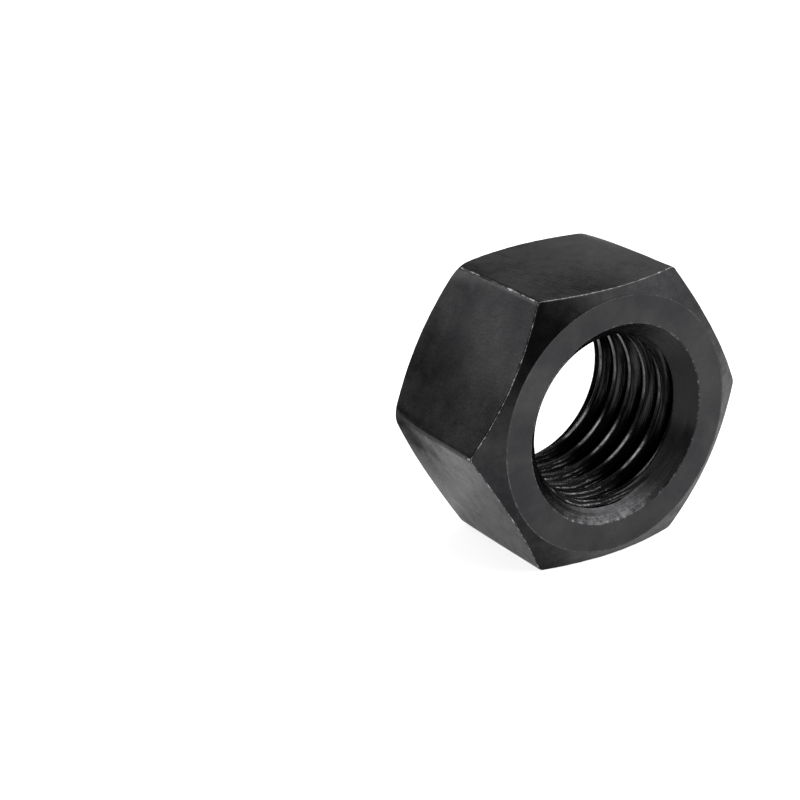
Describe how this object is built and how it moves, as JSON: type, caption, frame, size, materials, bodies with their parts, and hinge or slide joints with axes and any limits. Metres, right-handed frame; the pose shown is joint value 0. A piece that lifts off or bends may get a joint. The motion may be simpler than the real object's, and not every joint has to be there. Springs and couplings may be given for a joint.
{
  "type": "hex nut",
  "caption": "Plain hexagon nut in blackened steel, double chamfered, with a countersunk right-hand metric coarse thread through its axis.",
  "frame": {"origin": "on the thread axis, halfway between the two bearing faces", "axes": "+Y along the thread axis towards the rear bearing face, +Z normal to the top side flat, +X towards a corner of the hexagon; the nut stands on its bottom side flat"},
  "size_m": [0.034, 0.0174, 0.0296],
  "materials": {
    "blackened_steel": "satin black oxide"
  },
  "bodies": {
    "root": {"hex_nut": "blackened_steel"}
  },
  "joints": []
}
